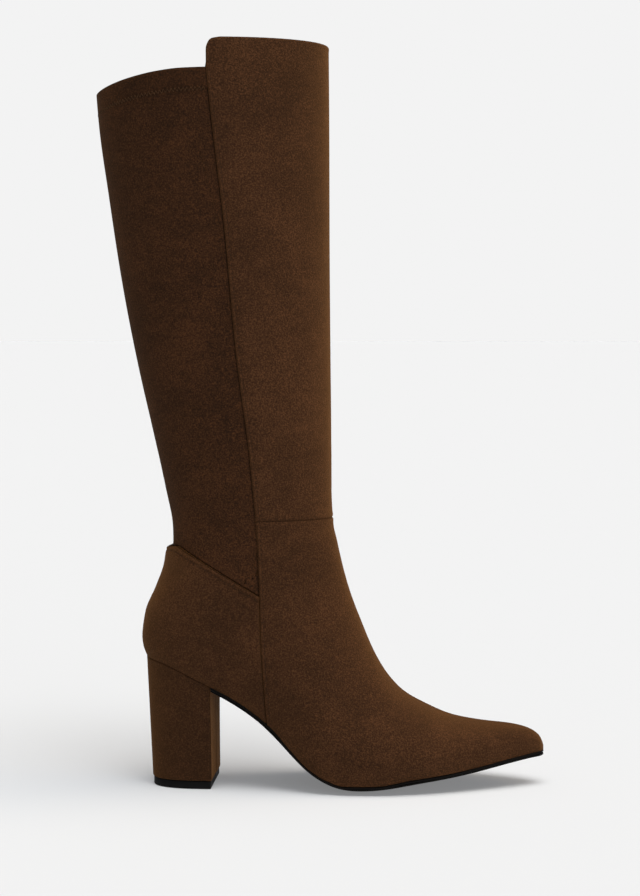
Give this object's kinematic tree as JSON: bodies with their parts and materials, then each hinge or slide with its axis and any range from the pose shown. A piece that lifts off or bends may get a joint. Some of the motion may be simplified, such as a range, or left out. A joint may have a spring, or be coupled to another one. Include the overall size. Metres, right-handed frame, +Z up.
{
  "type": "knee-high boot",
  "caption": "Knee-high pointed boot on a high block heel, with a hollow leg, a stretch back panel and an elastic back hem.",
  "frame": {"origin": "on the floor, under the middle of the boot's whole length and width", "axes": "+X towards the toe, -Y towards the outer (lateral) side, +Z up the leg"},
  "size_m": [0.2624, 0.1026, 0.43],
  "materials": {
    "suede": "matt microsuede with a short nap",
    "stretch_suede": "matt stretch microsuede, faintly gathered",
    "sock": "matt",
    "sole_rubber": "satin",
    "lift_rubber": "matt",
    "lining": "matt knitted lining",
    "thread": "twisted polyester sewing thread"
  },
  "bodies": {
    "root": {"upper": "lining", "leg": "stretch_suede", "vamp": "suede", "counter": "suede", "shaft_front": "suede", "back_cuff": "stretch_suede", "insole": "sock", "outsole": "sole_rubber", "heel": "suede", "heel_lift": "lift_rubber"}
  },
  "joints": []
}
